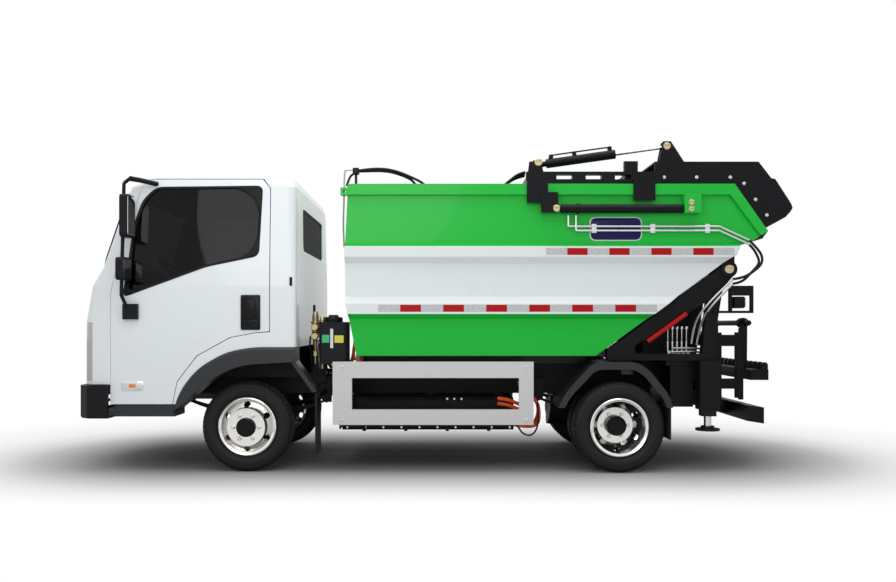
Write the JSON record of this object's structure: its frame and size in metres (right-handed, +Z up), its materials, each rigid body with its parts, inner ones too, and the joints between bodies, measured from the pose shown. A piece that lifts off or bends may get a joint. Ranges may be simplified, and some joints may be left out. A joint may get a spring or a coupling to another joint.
{
  "type": "self-loading garbage truck",
  "caption": "Small electric garbage truck: forward-control cab, tipping container with a sliding hood, rear bin lifter and stabilisers, single front and twin rear wheels.",
  "frame": {"origin": "on the ground, at the middle of the truck's length and width", "axes": "+X to the rear, +Y to the passenger's side, +Z up"},
  "size_m": [5.416, 2.22, 2.5179],
  "materials": {
    "white_paint": "gloss cab paint",
    "green_paint": "gloss green and white container paint",
    "black_paint": "black chassis paint",
    "grey_paint": "pale grey guard paint",
    "red_paint": "red safety paint",
    "black_plastic": "grained black plastic",
    "rubber": "black rubber sheet",
    "tyre": "black tyre rubber",
    "rim": "polished alloy",
    "steel": "bright steel",
    "glass": "dark tinted glass",
    "lamp": "clear lamp lens",
    "fabric": "dark seat cloth"
  },
  "bodies": {
    "chassis": {"battery_pack": "black_paint", "fluid_tank": "black_plastic", "frame_rails": "black_paint", "front_axle": "black_paint", "front_bumper": "black_plastic", "hydraulic_box": "black_paint", "lamp_frames": "black_paint", "leaf_springs": "black_paint", "lifter_guides": "black_paint", "mud_flaps": "rubber", "rear_axle": "black_paint", "rear_bumper": "black_paint", "rear_guards": "black_plastic", "rear_stand": "black_paint", "safety_props": "red_paint", "side_guards": "grey_paint", "stabiliser_sleeves": "black_paint", "subframe": "black_paint", "valve_bank": "steel"},
    "cab": {"cab_shell": "white_paint", "cab_glass": "glass", "dashboard": "black_plastic", "seats": "fabric", "steering_wheel": "black_plastic", "cab_fenders": "black_plastic", "headlamps": "lamp"},
    "door_l": {"door_left": "white_paint", "door_glass_left": "glass", "mirrors_left": "black_plastic"},
    "door_r": {"door_right": "white_paint", "door_glass_right": "glass", "mirrors_right": "black_plastic"},
    "knuckle_l": {"knuckle_left": "black_paint"},
    "knuckle_r": {"knuckle_right": "black_paint"},
    "wheel_fl": {"front_tyre_left": "tyre", "front_rim_left": "rim"},
    "wheel_fr": {"front_tyre_right": "tyre", "front_rim_right": "rim"},
    "wheels_rl": {"rear_tyres_left": "tyre", "rear_rims_left": "rim"},
    "wheels_rr": {"rear_tyres_right": "tyre", "rear_rims_right": "rim"},
    "bed": {"container": "green_paint", "tip_lugs": "black_paint", "side_cylinders": "black_paint", "side_pipes": "steel"},
    "carriage": {"carriage": "black_paint"},
    "hood": {"hood": "black_paint"},
    "hood_barrels": {"hood_barrels": "black_paint"},
    "hood_rods": {"hood_rods": "steel"},
    "tip_barrel": {"tip_barrel": "black_paint"},
    "tip_rod": {"tip_rod": "steel"},
    "mast": {"lifter_mast": "black_paint"},
    "lift_head": {"lifter_head": "black_paint"},
    "stabiliser_l": {"stabiliser_left": "black_paint"},
    "stabiliser_r": {"stabiliser_right": "black_paint"}
  },
  "joints": [
    {"name": "cab_tilt", "type": "hinge", "parent": "chassis", "child": "cab", "pos_m": [-2.53, 0, 0.705], "axis": [0, -1, 0], "range_deg": [0, 45]},
    {"name": "door_left_open", "type": "hinge", "parent": "cab", "child": "door_l", "pos_m": [-2.426, -0.925, 1.3], "axis": [0, 0, -1], "range_deg": [0, 65]},
    {"name": "door_right_open", "type": "hinge", "parent": "cab", "child": "door_r", "pos_m": [-2.426, 0.925, 1.3], "axis": [0, 0, 1], "range_deg": [0, 65]},
    {"name": "steer", "type": "hinge", "parent": "chassis", "child": "knuckle_l", "pos_m": [-1.433, -0.64, 0.34], "axis": [0, 0, 1], "range_deg": [-35, 35]},
    {"name": "steer_right", "type": "hinge", "parent": "chassis", "child": "knuckle_r", "pos_m": [-1.433, 0.64, 0.34], "axis": [0, 0, 1], "range_deg": [-35, 35]},
    {"name": "front_left_roll", "type": "hinge", "parent": "knuckle_l", "child": "wheel_fl", "pos_m": [-1.433, -0.76, 0.34], "axis": [0, 1, 0], "continuous": true},
    {"name": "front_right_roll", "type": "hinge", "parent": "knuckle_r", "child": "wheel_fr", "pos_m": [-1.433, 0.76, 0.34], "axis": [0, 1, 0], "continuous": true},
    {"name": "rear_left_roll", "type": "hinge", "parent": "chassis", "child": "wheels_rl", "pos_m": [1.367, -0.715, 0.34], "axis": [0, 1, 0], "continuous": true},
    {"name": "rear_right_roll", "type": "hinge", "parent": "chassis", "child": "wheels_rr", "pos_m": [1.367, 0.715, 0.34], "axis": [0, 1, 0], "continuous": true},
    {"name": "bed_tip", "type": "hinge", "parent": "chassis", "child": "bed", "pos_m": [2.208, 0, 1.53], "axis": [0, 1, 0], "range_deg": [0, 75]},
    {"name": "tip_barrel_swing", "type": "hinge", "parent": "chassis", "child": "tip_barrel", "pos_m": [-0.5, 0, 0.64], "axis": [0, 1, 0], "range_deg": [-39.48, 1]},
    {"name": "tip_rod_slide", "type": "slide", "parent": "tip_barrel", "child": "tip_rod", "axis": [0.9968, 0, 0.0797], "range_m": [-0.005, 0.6294]},
    {"name": "carriage_slide", "type": "slide", "parent": "bed", "child": "carriage", "axis": [1, 0, 0], "range_m": [-0.7, 0]},
    {"name": "hood_open", "type": "hinge", "parent": "carriage", "child": "hood", "pos_m": [1.65, 0, 2.21], "axis": [0, 1, 0], "range_deg": [-60, 0]},
    {"name": "hood_barrel_swing", "type": "hinge", "parent": "carriage", "child": "hood_barrels", "pos_m": [0.768, 0, 2.34], "axis": [0, 1, 0], "range_deg": [-1.44, 1]},
    {"name": "hood_rod_slide", "type": "slide", "parent": "hood_barrels", "child": "hood_rods", "axis": [0.9903, 0, 0.1391], "range_m": [-0.3034, 0.005]},
    {"name": "lift_raise", "type": "slide", "parent": "chassis", "child": "mast", "axis": [0, 0, -1], "range_m": [-0.5, 0]},
    {"name": "lift_tip", "type": "hinge", "parent": "mast", "child": "lift_head", "pos_m": [2.475, 0, 1.125], "axis": [0, 1, 0], "range_deg": [-120, 0]},
    {"name": "stabiliser_left_drop", "type": "slide", "parent": "chassis", "child": "stabiliser_l", "axis": [0, 0, -1], "range_m": [0, 0.3]},
    {"name": "stabiliser_right_drop", "type": "slide", "parent": "chassis", "child": "stabiliser_r", "axis": [0, 0, -1], "range_m": [0, 0.3]}
  ],
  "couplings": [
    {"joint": "steer_right", "follows": "steer", "ratio": 1},
    {"joint": "tip_barrel_swing", "follows": "bed_tip", "ratio": -0.513},
    {"joint": "tip_rod_slide", "follows": "bed_tip", "m_per_rad": 0.47321},
    {"joint": "hood_barrel_swing", "follows": "hood_open", "ratio": 0.007293},
    {"joint": "hood_rod_slide", "follows": "hood_open", "m_per_rad": 0.28018}
  ]
}
